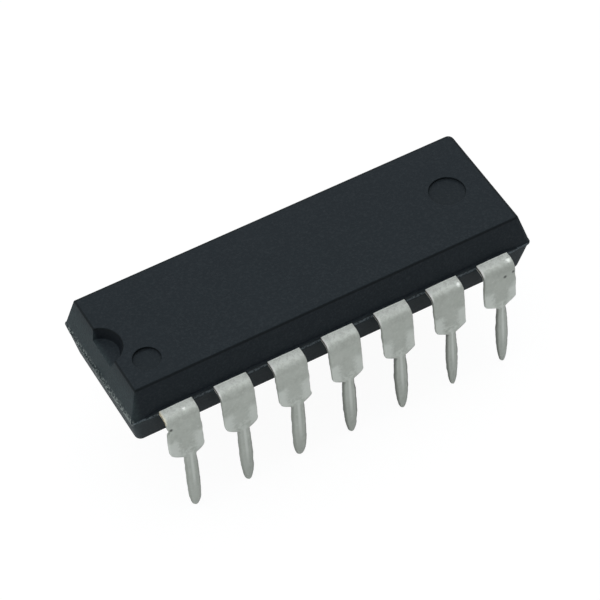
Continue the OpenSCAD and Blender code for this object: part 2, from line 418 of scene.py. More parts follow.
# Painted shade on the wall of the notch, a recess that the light hardly reaches.
def painted_notch_shade(skin):
    depth = skin.z.band((top_mm - 0.50, top_mm - 0.44), (top_mm - 0.03, top_mm - 0.01))
    wall = depth * skin.from_middle.fall(1.02, 1.1) * skin.from_end.step(0.5, 0.6)
    skin.lay(0.85 * (wall * skin.x.fall(-7.6, -7.5)), rgb(0.0025, 0.004, 0.007))


# Painted shade along the rounded edges round the top face, which mirror the dim horizon.
def painted_edge_shade(skin):
    rounding = skin.z.band(edge_shade_heights, (top_mm - 0.014, top_mm - 0.004))
    far_edge = skin.y.step(face_half_w / mm - 0.14, face_half_w / mm - 0.08)
    plain_end = skin.x.step(face_half_l / mm - 0.14, face_half_l / mm - 0.08)
    rounding = rounding.at_least(far_edge.at_least(plain_end) * skin.z.step(*edge_shade_heights))
    skin.lay(0.8 * rounding, rgb(0.002, 0.003, 0.0045))


def epoxy_finish():
    skin = Compound()
    for layer in (painted_light_on_end, painted_light_below_seam, chipped_seam, flash_edge_highlight, painted_notch_shade, painted_edge_shade):
        layer(skin)
    skin.drive(Base_Color=skin.colour, Roughness=0.48 + 0.2 * skin.grain)
    skin.bump(skin.grain + 0.3 * skin.noise(skin.at, pore_scale, 2), grain_depth)
    return skin.material


epoxy = epoxy_finish()
print("material:", epoxy.name)

# %% [markdown]
# ### Solder on the leads
#
# The leads are dipped in solder after they are formed. The coat is dull grey with soft, uneven
# patches where it drained, a few dark pits, and a few spots with a painted glint. The mesh
# carries three attributes: how far along the lead a point is in millimetres, how far across it
# from -1 to 1, and whether it lies on a cut edge. They say where on a lead the solder and its
# painted light lie, which coordinates alone can't, because the strip is bent.

# %% Solder and its places
patch_scale = 1.3
fine_scale = 6
solder_depth = 0.04 * mm
# Dark pits by x and z, and spots with a painted glint by x and distance along, each with its
# radius
dark_pits = [(-8.25, 5.41, 0.075), (-7.97, 3.40, 0.06), (7.83, 5.40, 0.08), (8.25, 5.48, 0.07)]
painted_glint_spots = [(-7.42, 0.50, 0.075), (8.20, 0.52, 0.10), (5.68, 0.58, 0.08),
                (-2.9, 0.45, 0.035)]


class Solder(Finish):
    """Dull grey with paler patches and flecks, and the places that its layers follow."""

    def __init__(self):
        super().__init__("solder_coat", **{"Specular IOR Level": 0.5})
        self.x, self.y, self.z = self.parts(self.at)
        self.along = self.attribute("along")
        self.to_right = self.attribute("across")
        self.across = abs(self.to_right)
        self.edge = self.attribute("cut_edge")
        self.patch = self.noise(self.at, patch_scale, 3, 0.55)
        self.fine = self.noise(self.at, fine_scale, 4, 0.72)
        self.level = self.along.fall(0.40, 0.75)
        # Painted highlight: a ragged rim where the lead leaves the body.
        self.rim = self.along.fall(0.20, 0.25) * self.fine.step(0.3, 0.5)
        # Spots with a painted glint, where the solder is also smoother.
        self.glint_spots = self.spots(self.along, painted_glint_spots)
        self.colour = self.mix(self.patch.step(0.3, 0.7), rgb(0.55, 0.58, 0.535),
                               rgb(0.63, 0.66, 0.615))
        self.lay(0.6 * self.fine.step(0.30, 0.70), rgb(0.68, 0.705, 0.66))
        self.lay(0.5 * self.fine.step(0.60, 0.72), rgb(0.80, 0.82, 0.78))
        self.lay(0.17 * self.x.step(-3, 9), rgb(0.36, 0.38, 0.345))

    def spots(self, down, places):
        """1 in a few round spots of the near row."""
        mask = 0.0
        for spot_across, spot_down, radius in places:
            away = ((self.x - spot_across) ** 2.0 + (down - spot_down) ** 2.0) ** 0.5
            mask = away.fall(0.2 * radius, 1.6 * radius) + mask
        return (mask * self.y.fall(-1, 1)).between(0, 1)


print("solder marks:", len(dark_pits), "pits and", len(painted_glint_spots), "glint_spots")

# %% [markdown]
# Solder runs down a lead as it cools, and it is finely dimpled on the level part. Light and
# shade are painted on as well. The level part, which faces up, is painted bright. The lower
# sides and foot of the shoulder, where the surface rolls over, get a painted reflection, the
# middle of the pin a painted highlight, and the pin's sides, where the strip is thin, painted
# shade. Painted highlights also mark a rim where the lead leaves the body, and the left side of
# the bend.

# %% Dimples, and painted light and shade on the solder


def level_light_and_dimples(skin):
    # Painted light: the level part, which faces up, is coloured near white.
    skin.lay(0.9 * skin.level, rgb(0.95, 0.98, 0.93))
    dimples = skin.fine.fall(0.42, 0.54) * skin.along.fall(0.6, 1.1)
    skin.lay(0.30 * dimples, rgb(0.50, 0.51, 0.47))


def leg_light_and_shade(skin):
    """Painted reflection on the shoulder's sides and foot, painted highlight and shade on the pin.
    """
    # Painted reflection on the lower sides and foot of the shoulder, where the surface rolls over.
    above_pin = skin.along.fall(2.75, 3.05)
    side = (skin.across + 0.7 * (skin.fine - 0.5)).step(0.25, 0.70)
    lower = (skin.along + 0.9 * (skin.patch - 0.5)).step(1.55, 1.95) * above_pin
    foot = 0.7 * skin.along.step(2.3, 2.7) * above_pin * skin.fine.step(0.4, 0.6)
    pale = (side * lower).at_least(foot) * skin.edge.fall(0.5, 0.9)
    # Painted highlight down the middle of the pin.
    on_pin = skin.along.step(2.7, 3.1)
    streak = skin.across.fall(0.05, 0.35) * on_pin * skin.along.fall(4.2, 5.8)
    skin.lay(0.75 * pale + 0.7 * streak, rgb(0.83, 0.86, 0.82))
    # Painted shade along the pin's sides near the neck, heavier towards the plain end.
    pin_side_shade = on_pin * skin.across.step(0.6, 0.95) * (0.3 + 0.45 * skin.x.step(-4, 1))
    skin.lay(pin_side_shade, rgb(0.18, 0.19, 0.17))


def painted_highlights(skin):
    """Painted highlights at the body, on a few spots and down the left of the bend, cream on lead
    one.
    """
    # Painted highlights: a white rim at the body, and white glints on a few spots.
    skin.lay((skin.rim + skin.glint_spots).between(0, 1), rgb(0.97, 1.0, 0.95))
    # Painted highlight down the left side of the bend, cream on the first lead.
    left_side = (-1 * skin.to_right).step(0.88, 0.95)
    left_highlight = left_side * skin.along.fall(0.60, 0.85) * skin.fine.step(0.3, 0.45)
    highlight_colour = skin.mix(skin.x.step(-7.9, -7.6), rgb(1.0, 0.97, 0.82), rgb(1.0, 1.0, 0.97))
    skin.lay(0.9 * left_highlight, highlight_colour)


print("drained solder ready")

# %% [markdown]
# The edges that the die cut get painted shade, heavier on the leads towards the plain end. Near
# the body the coat hardly covers them, so the copper alloy shows: brassy on the first lead, and
# dark brown on the others, where painted shade lies over it. Where light is painted onto the
# solder it is less metallic than dull solder, because a mirror would only show the dim sky.

# %% Cut edges with painted shade, and the whole finish


def cut_edges_and_shade(skin):
    # Painted shade on the cut edges, which face sideways out of the light.
    dark = skin.edge.step(0.5, 0.9) * (0.45 + 0.35 * skin.x.step(2, 7))
    skin.lay(dark, rgb(0.26, 0.27, 0.235))
    skin.lay(0.85 * skin.spots(skin.z, dark_pits), rgb(0.04, 0.045, 0.04))
    bare = skin.edge.step(0.2, 0.5) * skin.along.fall(0.65, 0.95) * skin.fine.step(0.3, 0.42)
    brass = skin.mix(skin.fine.step(0.50, 0.56), rgb(0.95, 0.75, 0.40), rgb(0.14, 0.08, 0.035))
    # Bright brass on the first lead; on the others the bare alloy is dark brown with painted
    # shade.
    alloy_and_shade = skin.mix(skin.x.step(-7.6, -6.2), brass, rgb(0.060, 0.045, 0.030))
    skin.lay(0.9 * bare, alloy_and_shade)


def solder_finish():
    skin = Solder()
    for layer in (level_light_and_dimples, leg_light_and_shade, painted_highlights, cut_edges_and_shade):
        layer(skin)
    # Where light is painted on, the solder is less metallic so that the painted colour shows; the
    # glint spots stay metallic and are smoother.
    painted_light_share = (0.38 * skin.level).at_least(0.55 * skin.rim) * (1 - skin.glint_spots)
    skin.drive(Base_Color=skin.colour, Metallic=0.62 - painted_light_share,
               Roughness=0.60 + 0.12 * skin.patch - 0.4 * skin.glint_spots)
    skin.bump(skin.patch + 0.4 * skin.fine, solder_depth)
    return skin.material


solder = solder_finish()
print("material:", solder.name)

# %% [markdown]
# ### What is inside
#
# Hardly anything inside the moulding shows, but each piece still has the finish that it has
# before moulding: a stamped copper pad with rolling marks, a silver-filled adhesive, a dark chip
# with a grid of circuit blocks, and bright gold wire. Only the cut ends of the pad's two tie
# bars reach the outside, and they have gone dull and grey.

# %% Copper, adhesive, silicon and gold


def copper_finish():
    finish = Finish("stamped_copper")
    x, y, z = finish.parts(finish.at)
    rolled = finish.noise(finish.joined(x * 1.5, y * 30, z * 30), 1, 2)
    bare = finish.mix(rolled, rgb(0.44, 0.20, 0.11), rgb(0.55, 0.27, 0.15))
    outside = abs(x).step(body_high.x / mm - 0.3, body_high.x / mm - 0.2)
    finish.drive(Base_Color=finish.mix(outside, bare, rgb(0.11, 0.13, 0.13)),
                 Roughness=0.28 + 0.2 * rolled + 0.25 * outside, Metallic=1 - outside)
    return finish.material


def adhesive_finish():
    finish = Finish("silver_adhesive")
    flake = finish.noise(finish.at, 40, 2)
    finish.drive(Base_Color=finish.mix(flake, rgb(0.42, 0.42, 0.39), rgb(0.62, 0.62, 0.58)),
                 Roughness=0.45 + 0.25 * flake, Metallic=0.6 * flake.step(0.5, 0.6))
    return finish.material


def silicon_finish():
    finish = Finish("silicon", **{"Coat Roughness": 0.1})
    x, y, _ = finish.parts(finish.at)
    blocks = finish.node("ShaderNodeTexBrick", None, {
        "Vector": finish.joined(x, y, 0.0), "Scale": 4.0, "Color1": rgb(0.05, 0.06, 0.10),
        "Color2": rgb(0.11, 0.10, 0.09), "Mortar": rgb(0.22, 0.20, 0.16), "Mortar Size": 0.02})
    finish.drive(Base_Color=finish.out(blocks, "Color"), Coat_Weight=0.6,
                 Roughness=0.2 + 0.1 * finish.noise(finish.at, 8))
    return finish.material


def gold_finish():
    finish = Finish("gold_wire", Metallic=1.0)
    drawn = finish.noise(finish.at, 25, 2)
    finish.drive(Base_Color=finish.mix(drawn, rgb(0.76, 0.48, 0.14), rgb(0.86, 0.58, 0.20)),
                 Roughness=0.16 + 0.14 * drawn)
    return finish.material


inner_finishes = {"die_pad": copper_finish(), "die_attach": adhesive_finish(),
                  "die": silicon_finish()}
gold = gold_finish()
for name, node in frame["nodes"].items():
    if name in inner_finishes or name.startswith("bond_wire"):
        node.data.materials.clear()
        node.data.materials.append(inner_finishes.get(name, gold))
print("inner pieces finished:", len(inner_finishes), "and the wires")

# %% [markdown]
# ## The body
#
# The moulding has drafted walls that are widest at the seam, and a small rounded edge around the
# top and the underside. Its upright corners are rounded too, more so at the plain end and
# towards the underside, where the tool is worn. It is a loft: one closed outline, repeated at
# each height with its own size. Every outline has many points along its straight sides too,
# because the flash at the seam isn't straight.

# %% Outline of the moulding at one height
flash_t = 0.05 * mm
ledge_t = 0.34 * mm
end_draft_low = math.radians(10)
side_draft_low = math.radians(10)
corner_heights = [-1, -0.1, 0.1, 0.6]
corner_radii = [0.28 * mm, 0.18 * mm, 0.05 * mm, 0.03 * mm]
far_corner_r = 0.24 * mm
near_corner_r = 0.08 * mm
least_r = 0.01 * mm
edge_r = 0.09 * mm
corner_steps = 12
edge_steps = 6
side_points = 190
end_points = 64


def outline_points():
    """Unit outline: corner centre signs, direction from the centre, and outward direction."""
    corners = [(1, 1), (-1, 1), (-1, -1), (1, -1)]
    points = []
    for turn, (sign_x, sign_y) in enumerate(corners):
        for step in range(corner_steps + 1):
            angle = math.radians(90 * (turn + step / corner_steps))
            points.append((sign_x, sign_y, math.cos(angle), math.sin(angle)))
        next_x, next_y = corners[(turn + 1) % 4]
        count = side_points if next_y == sign_y else end_points
        for step in range(1, count):
            t = step / count
            angle = math.radians(90 * (turn + 1))
            points.append((sign_x + t * (next_x - sign_x), sign_y + t * (next_y - sign_y),
                           math.cos(angle), math.sin(angle)))
    return np.array(points)


outline = outline_points()


def body_ring(height, inset):
    """Points of the outline at a height from the seam. Both may differ from point to point."""
    height = height + np.zeros(len(outline))
    radius = np.interp(height / (body_high.z - seam_z), corner_heights, corner_radii)
    to_plain_end = (1 + outline[:, 0]) / 2
    to_far_side = (1 + outline[:, 1]) / 2
    radius += to_plain_end * (near_corner_r + (far_corner_r - near_corner_r) * to_far_side)
    radius = np.maximum(radius - inset, least_r)
    end_slope = np.where(height > 0, math.tan(end_draft), math.tan(end_draft_low))
    side_slope = np.where(height > 0, math.tan(side_draft), math.tan(side_draft_low))
    reach_x = half_l - abs(height) * end_slope - inset - radius
    reach_y = half_w - abs(height) * side_slope - inset - radius
    x = outline[:, 0] * reach_x + outline[:, 2] * radius
    y = outline[:, 1] * reach_y + outline[:, 3] * radius
    return np.column_stack([x, y, seam_z + height])


print("outline points:", len(outline))

# %% [markdown]
# The flash is resin that was squeezed out at the seam. Between the leads it filled the whole
# thickness of the strip up to the dam bars, so it is a low, even ledge there. At the ends it is
# a thin fin, with a thick collar in the middle, where the tie bar comes out. The fin is ragged at
# the notched end, and its near part has broken off. Sums of sines with fixed phases give the
# same ragged edge on every run.

# %% Ragged flash
fin_least = 0.25
plain_fin = 0.6
ledge_least = 0.80
full_round_bar = [0.2 * mm, 0.45 * mm]
collar_ends = [0.25 * mm, 0.42 * mm]
broken_ends = [-1.45 * mm, -1.30 * mm]
broken_left = 0.12
corner_fade = [0.80, 0.97]
corner_left = 0.3
ledge_ends = [8.5 * mm, 9.2 * mm]


def ragged(distance, seed, waves=14, longest=1.6 * mm, shortest=0.12 * mm):
    """Fixed ragged profile from 0 to 1 along a distance."""
    chance = random.Random(seed)
    total = np.zeros_like(distance)
    for n in range(waves):
        length = longest * (shortest / longest) ** (n / (waves - 1))
        total += np.sin(2 * math.pi * (distance / length + chance.random())) * length ** 0.35
    total -= total.min()
    return total / total.max()


def flash_reach(seed):
    """How far the flash stands out at each point of the outline."""
    across = outline[:, 1] * half_w
    at_notch = outline[:, 0] < 0
    fin = np.where(at_notch, fin_least + (1 - fin_least) * ragged(across, seed), plain_fin)
    fin = np.interp(abs(across), full_round_bar, [1, 0]) * (1 - fin) + fin
    fin *= np.interp(abs(across) / half_w, corner_fade, [1, corner_left])
    fin *= np.where(at_notch, np.interp(across, broken_ends, [broken_left, 1]), 1)
    uneven = ragged(outline[:, 0] * half_l, seed + 1, longest=4 * mm)
    ledge = ledge_least + (1 - ledge_least) * uneven
    at_end = outline[:, 2] ** 2
    return flash_w * (at_end * fin + (1 - at_end) * ledge)


def flash_half_height():
    """Half the height of the flash: a thin fin at the ends and a ledge along the sides."""
    along, across = abs(outline[:, 0]) * half_l, abs(outline[:, 1]) * half_w
    along_side = np.interp(along, ledge_ends, [1, 0]) * (outline[:, 2] ** 2 < 0.01)
    round_bar = np.interp(across, collar_ends, [1, 0]) * (outline[:, 2] ** 2 > 0.99)
    return (flash_t + (ledge_t - flash_t) * np.maximum(along_side, round_bar)) / 2


print(f"flash {flash_w / mm:.2f} mm wide, ledge {ledge_t / mm:.2f} mm high")

# %% [markdown]
# The loft starts and ends with a quarter circle for the rounded edges, and has four rings at the
# seam for the flash: two on the walls and two a little closer together at its outer face.

# %% The loft
flash_seed = 7
flash_face = 0.94


def body_rings():
    quarter = [math.radians(90 * n / edge_steps) for n in range(edge_steps + 1)]
    lowest, highest = body_low.z - seam_z, body_high.z - seam_z
    rings = [body_ring(lowest + edge_r * (1 - math.cos(a)), edge_r * (1 - math.sin(a)))
             for a in quarter]
    rise = flash_half_height()
    reach = flash_reach(flash_seed) + rise * math.tan(side_draft)
    rings += [body_ring(-rise, 0), body_ring(-flash_face * rise, -reach),
              body_ring(flash_face * rise, -reach), body_ring(rise, 0)]
    rings += [body_ring(highest - edge_r * (1 - math.cos(a)), edge_r * (1 - math.sin(a)))
              for a in reversed(quarter)]
    return rings


def loft(name, rings):
    """Closed mesh through rings of equally many points, lowest first."""
    count = len(rings[0])
    faces = [(n * count + a, n * count + (a + 1) % count,
              (n + 1) * count + (a + 1) % count, (n + 1) * count + a)
             for n in range(len(rings) - 1) for a in range(count)]
    last = (len(rings) - 1) * count
    faces += [tuple(range(count - 1, -1, -1)), tuple(range(last, last + count))]
    mesh = bpy.data.meshes.new(name)
    mesh.from_pydata(np.concatenate(rings).tolist(), [], faces)
    return mesh


def linked(name, mesh):
    made = bpy.data.objects.new(name, mesh)
    bpy.context.scene.collection.objects.link(made)
    return made


body = linked("epoxy_body", loft("epoxy_body", body_rings()))
print("moulding loft:", len(body.data.polygons), "faces")

# %% [markdown]
# ### Notch, dimple and ejector marks
#
# These are cut by solids of revolution. A plain cylinder would leave a knife edge, so each
# cutter's profile flares at the rim and is rounded at the floor, as the tool that made the
# mould was.

# %% Cutters for the marks
notch_r = 1.04 * mm
notch_reach = 0.77 * mm
notch_depth = 0.52 * mm
notch_draft = math.radians(20)
notch_rim = 0.05 * mm
dimple_d = 1.2 * mm
dimple_from_end = 1.2 * mm
dimple_off = 1.54 * mm
ejector_d = 1.6 * mm
ejector_from_end = 1.84 * mm
mark_depth = 0.105 * mm
mark_rim = 0.035 * mm
rim_steps = 5
turn_steps = 120
clear = 0.3 * mm
base_half_l = half_l - (seam_z - body_low.z) * math.tan(end_draft)


def cutter_profile(radius, depth, rim, draft=0.0):
    """Radius and height of the cutter, from its rounded floor edge to above the face."""
    quarter = [math.radians(90 * n / rim_steps) for n in range(rim_steps + 1)]
    lean = rim * (1 + math.tan(draft))
    low = radius - depth * math.tan(draft) - rim
    high = radius - rim * math.tan(draft)
    floor = [(low + lean * math.sin(a), -depth + rim * (1 - math.cos(a))) for a in quarter]
    lip = [(high + lean * (1 - math.cos(a)), -rim + rim * math.sin(a)) for a in quarter]
    return floor + lip + [(high + lean, clear)]


def revolve(name, x, y, face_z, side, profile):
    """Closed solid of revolution about a vertical line. Side is -1 for a mark cut from below."""
    turns = [2 * math.pi * side * n / turn_steps for n in range(turn_steps)]
    rings = [np.array([(x + r * math.cos(a), y + r * math.sin(a), face_z + side * h)
                       for a in turns]) for r, h in profile]
    return linked(name, loft(name, rings))


def mark_cutters():
    dimple = cutter_profile(dimple_d / 2, mark_depth, mark_rim)
    ejector = cutter_profile(ejector_d / 2, mark_depth, mark_rim)
    left, right = ejector_from_end - base_half_l, base_half_l - ejector_from_end
    return [
        revolve("notch_cut", notch_reach - face_half_l - notch_r, 0, body_high.z, 1,
                cutter_profile(notch_r, notch_depth, notch_rim, notch_draft)),
        revolve("dimple_cut", dimple_from_end - face_half_l, -dimple_off, body_high.z, 1, dimple),
        revolve("ejector_cut", face_half_l - ejector_from_end, 0, body_high.z, 1, ejector),
        revolve("ejector_cut_left", left, 0, body_low.z, -1, ejector),
        revolve("ejector_cut_right", right, 0, body_low.z, -1, ejector),
    ]


cutters = mark_cutters()
print("cutters:", [c.name for c in cutters])

# %% [markdown]
# The lead frame is moulded in, so the body also has a cavity for every piece inside it. The
# frame's own solids are the cutters: merged copies of them, joined into one mesh.

# %% Cavity of everything that is moulded in
touching = 0.0002 * mm


def merged_copy(name):
    """A frame node's mesh with its loose triangles joined."""
    mesh = frame["nodes"][name].data.copy()
    shape = bmesh.new()
    shape.from_mesh(mesh)
    bmesh.ops.remove_doubles(shape, verts=shape.verts, dist=touching)
    shape.to_mesh(mesh)
    shape.free()
    return mesh


def insert_cutter():
    shape = bmesh.new()
    for name in sorted(frame["nodes"]):
        if name != "moulded_body":
            shape.from_mesh(merged_copy(name))
    mesh = bpy.data.meshes.new("inserts")
    shape.to_mesh(mesh)
    shape.free()
    return linked("inserts", mesh)


def apply_modifiers(piece):
    graph = bpy.context.evaluated_depsgraph_get()
    piece.data = bpy.data.meshes.new_from_object(piece.evaluated_get(graph))
    piece.modifiers.clear()


def cut(piece, tools):
    """Cuts the tools from the piece, keeps the result as a plain mesh and removes the tools."""
    for tool in tools:
        step = piece.modifiers.new(tool.name, "BOOLEAN")
        step.operation = "DIFFERENCE"
        step.solver = "EXACT"
        step.use_self = tool.name == "inserts"
        step.object = tool
    apply_modifiers(piece)
    for tool in tools:
        bpy.data.objects.remove(tool)


cut(body, cutters + [insert_cutter()])
print("body after cutting:", len(body.data.polygons), "faces")

# %% [markdown]
# Smooth shading rounds the small fillets, and edges sharper than a set angle stay crisp.
# Weighted normals keep the large faces flat right up to their rounded edges.

# %% Shading of the body
crisp_angle = math.radians(40)


def shade(piece, angle):
    """Smooth faces, crisp edges past an angle, and normals weighted by face area."""
    shape = bmesh.new()
    shape.from_mesh(piece.data)
    for face in shape.faces:
        face.smooth = True
    for line in shape.edges:
        line.smooth = line.is_manifold and line.calc_face_angle(0) < angle
    shape.to_mesh(piece.data)
    shape.free()
    step = piece.modifiers.new("weighted", "WEIGHTED_NORMAL")
    step.keep_sharp = True
    apply_modifiers(piece)


def finish_piece(piece, material, slot, *nodes):
    piece.data.materials.clear()
    piece.data.materials.append(material)
    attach(piece, "root")
    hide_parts(*nodes)


shade(body, crisp_angle)
finish_piece(body, epoxy, "epoxy", "moulded_body")
print("body:", len(body.data.vertices), "points")

# %% [markdown]
# ## The leads
#
# A lead is one strip: level where it leaves the body, a quarter bend, a wide shoulder, and a
# slim pin with a leaf-shaped outline. All fourteen follow the same rule with small differences,
# so they come from one Geometry Nodes tree. It lays a grid along the strip: one direction runs
# down the lead, the other goes round its section. The section is a circle whose four quarters
# are pushed apart, which gives a flat strip with rounded edges.

# %% Sizes of a lead
shoulder_w = 1.52 * mm
bend_r = 0.22 * mm
flare = math.radians(3)
shoulder_drop = 2.04 * mm
shoulder_slope = math.radians(30)
lead_reach = 0.68 * mm
pin_w = 0.66 * mm
pin_l = 4.3 * mm
root_start = half_w - 0.12 * mm
bend_mid_r = bend_r + strip_t / 2
bend_y = half_w + lead_reach - bend_mid_r * math.cos(flare)
level_l = bend_y - root_start
bend_l = bend_mid_r * (math.pi / 2 - flare)
lead_drop = seam_z - tip_z
leg_l = (lead_drop - bend_mid_r * (1 - math.sin(flare))) / math.cos(flare)
shoulder_l = (shoulder_drop - bend_mid_r * (1 - math.sin(flare))) / math.cos(flare)
print(f"strip {(level_l + bend_l + leg_l) / mm:.2f} mm long from inside the body to its tip")

# %% [markdown]
# The tree gets a named input for every size, and for what makes one lead differ from the next:
# how blunt its tip is, how far the pin stands off the shoulder's middle, how it leans, and the
# bite that the trimming die took out of its left side. Lengths inside the tree are in
# millimetres, and the last node brings them to metres.

# %% A tree with named inputs


class Shape(Tree):
    """A Geometry Nodes tree with named inputs."""

    def __init__(self, name, sizes):
        group = bpy.data.node_groups.new(name, "GeometryNodeTree")
        super().__init__(group)
        group.interface.new_socket("Geometry", in_out="OUTPUT", socket_type="NodeSocketGeometry")
        for size, value in sizes.items():
            socket = group.interface.new_socket(size, in_out="INPUT",
                                                socket_type="NodeSocketFloat")
            socket.default_value = value
        given = self.node("NodeGroupInput")
        self.size = {size: self.out(given, size) for size in sizes}

    def then(self, kind, geometry, **inputs):
        """Passes geometry through one more node."""
        made = self.node("GeometryNode" + kind, None, {"Geometry": geometry, **inputs})
        return self.out(made)


lead_inputs = {
    "Level": level_l / mm, "Bend radius": bend_mid_r / mm, "Bend length": bend_l / mm,
    "Leg": leg_l / mm, "Shoulder": shoulder_l / mm, "Longer shoulder": 0.0,
    "Half width": shoulder_w / 2 / mm, "Slope": math.tan(shoulder_slope),
    "Pin half width": pin_w / 2 / mm, "Pin half length": pin_l / 2 / mm,
    "Half thickness": strip_t / 2 / mm, "Edge radius": 0.085, "Corner": 0.20, "Taper": 0.10,
    "Neck": 2.0, "Blunt": 2.0, "Pin offset": 0.06, "Lean": 0.0, "Sideways": 0.0,
    "Shortening": 0.0, "Bite": 0.0, "Wobble": 0.045, "Unevenness": 0.014, "Seed": 0.0,
}
print("lead inputs:", len(lead_inputs))

# %% [markdown]
# A point's place in the grid gives its ring, and its ring gives its distance down the strip. The
# rings are shared out by need: close together at the shoulder's foot, where the outline turns,
# and towards the tip. One more ring at the start shrinks to a point and closes the strip there.

# %% Distance down the strip
rings = 150
around = 56
upper_rings = 0.40
foot_rings = 0.28
pin_rings = 0.32
foot_l = 0.62
foot_start = 0.15


def lay_grid(lead):
    lead.grid = lead.node("GeometryNodeMeshGrid", None, {
        "Size X": 1.0, "Size Y": 1.0, "Vertices X": rings + 2, "Vertices Y": around + 1})
    u, v, _ = lead.parts(lead.out(lead.node("GeometryNodeInputPosition")))
    step = lead.math("ROUND", (u + 0.5) * (rings + 1))
    lead.ring = ((step - 1) / rings).between(0, 1)
    lead.open_end = step.between(0, 1)
    lead.angle = (v + 0.5) * (2 * math.pi)


def run_down(lead):
    """Works out the distance down the whole strip, and down the leg below the bend."""
    size = lead.size
    size["Shoulder"] = size["Shoulder"] + size["Longer shoulder"]
    to_foot = size["Level"] + size["Bend length"] + size["Shoulder"] - foot_start
    pin = size["Leg"] - size["Shoulder"] + foot_start - foot_l - size["Shortening"]
    upper = (lead.ring / upper_rings).between(0, 1)
    foot = ((lead.ring - upper_rings) / foot_rings).between(0, 1)
    lower = ((lead.ring - (upper_rings + foot_rings)) / pin_rings).between(0, 1)
    closer = lead.math("SINE", lower * (math.pi / 2))
    lead.run = to_foot * upper + foot_l * foot + pin * (0.35 * lower + 0.65 * closer)
    lead.bent = (lead.run - size["Level"]).at_least(0)
    lead.leg = (lead.bent - size["Bend length"]).at_least(0)
    lead.on_pin = (lead.leg - size["Shoulder"]).step(0.1, 0.6)


print("grid:", rings + 2, "by", around + 1)

# %% [markdown]
# The width down the leg is the wider of two shapes: the shoulder, whose lower edges slope in at
# 30 degrees, and the leaf of the pin. Smooth minimum and maximum round the corners where the two
# meet. The leaf's two ends have powers of their own, so a tip can be blunt and its neck slim.

# %% Width down the leg
shoulder_bulge = 0.03
meeting_r = 0.07


def strip_width(lead):
    size, leg = lead.size, lead.leg
    bulge = shoulder_bulge * lead.math("SINE", (leg / size["Shoulder"]).between(0, 1) * 2.4)
    wide = size["Half width"] + bulge
    slope = size["Half width"] - (leg - size["Shoulder"]) / size["Slope"]
    shoulder = lead.math("SMOOTH_MIN", wide, slope, size["Corner"])
    centre = size["Leg"] - size["Shortening"] - size["Pin half length"]
    down_pin = ((leg - centre) / size["Pin half length"]).between(-1, 1)
    to_tip, to_neck = down_pin.at_least(0), (-1 * down_pin).at_least(0)
    ends = to_tip ** size["Blunt"] + to_neck ** size["Neck"]
    leaf = size["Pin half width"] * (1 - ends).at_least(0) ** 0.4
    lead.half = lead.math("SMOOTH_MAX", shoulder, leaf, meeting_r)
    lead.tip = (1 - to_tip ** 6.0).at_least(0) ** 0.35


print("widest", shoulder_w / mm, "mm")

# %% [markdown]
# The section is a circle pushed apart into a strip with rounded edges. The strip is a little
# thicker along its middle. The left side alone gets the taper and the bite, and a noise along
# the strip makes both edges slightly uneven.

# %% Section of the strip
bite_at = 0.26
bite_l = 0.12


def section(lead):
    """Works out how far a point stands across the strip, and how far up from its middle."""
    size, leg, run, half = lead.size, lead.leg, lead.run, lead.half
    thick = size["Half thickness"] * lead.tip
    soft = size["Edge radius"] * (0.4 + 0.6 * run.step(0.2, 1.4))
    radius = soft.at_most(half * 0.95).at_most(thick * 0.95)
    cosine, sine = lead.math("COSINE", lead.angle), lead.math("SINE", lead.angle)
    across = (cosine * 4).between(-1, 1)
    lead.facing = (sine * 4).between(-1, 1)
    side = (half - radius) * across + radius * cosine
    lead.share = side / half.at_least(0.001)
    lens = 1 - lead.share * lead.share * (0.12 + 0.5 * lead.on_pin)
    low_side = leg.step(0.75, 1.0) * abs(lead.share).step(0.5, 0.75) * (1 - lead.on_pin)
    rise = ((thick - radius) * lead.facing + radius * sine) * lens * (1 - 0.1 * low_side)
    left = (-1 * across).between(0, 1)
    taper = size["Taper"] * leg.step(-0.4, 1.5) * leg.fall(1.8, 2.3)
    bite = size["Bite"] * lead.math("EXPONENT", -1 * ((leg - bite_at) / bite_l) ** 2.0)
    side = side + bite * left ** 2.0 + taper * left
    rough = lead.noise(lead.joined(run * 2.2, across * 4, size["Seed"]), 1.0, 3.5)
    side = side + size["Wobble"] * (rough - 0.5) * 2 * across * run.step(0.3, 0.8) * lead.tip
    side = side + size["Pin offset"] * leg.step(1.5, 2.1)
    return side * lead.open_end, rise * lead.open_end


print("section of", around, "points")

# %% [markdown]
# Now the flat strip is bent. A point's turn grows along the bend and then stays, and sine and
# cosine of the turn say how much of its distance goes outwards and how much goes down. A second,
# wider noise lifts or lowers the surface by a few thousandths of a millimetre, as the solder is.

# %% Bend


def bend(lead, side, rise):
    """Works out each point's place, and how far the solder lifts it."""
    size, leg = lead.size, lead.leg
    turn = (lead.bent / size["Bend radius"]).at_most(math.pi / 2 - flare)
    share_down = (leg / size["Leg"]).between(0, 1)
    lean = size["Lean"] * share_down * share_down
    skew = size["Sideways"] * share_down * share_down
    level = lead.run.at_most(size["Level"])
    sin_turn, cos_turn = lead.math("SINE", turn), lead.math("COSINE", turn)
    out = level + size["Bend radius"] * sin_turn + leg * cos_turn + rise * sin_turn + lean
    drop = size["Bend radius"] * (1 - cos_turn) + leg * sin_turn - rise * cos_turn
    lead.bent_to = lead.joined(side + skew, -1 * out, -1 * drop)
    shifted = lead.vector("ADD", lead.bent_to, lead.joined(size["Seed"], 0.0, 0.0))
    bumps = lead.noise(shifted, 1.1, 1.5)
    lead.lift = (bumps - 0.5) * size["Unevenness"] * lead.open_end * lead.tip


print("bend of", bend_r / mm, "mm inside")

# %% [markdown]
# The tree ends with the nodes that act: the three marks for the solder are stored, the points
# are set in place, the seam of the grid is merged and the lift moves each point along its
# normal. The lift is captured first, because it is worked out from the flat grid.

# %% The whole tree
merge_within = 0.0004


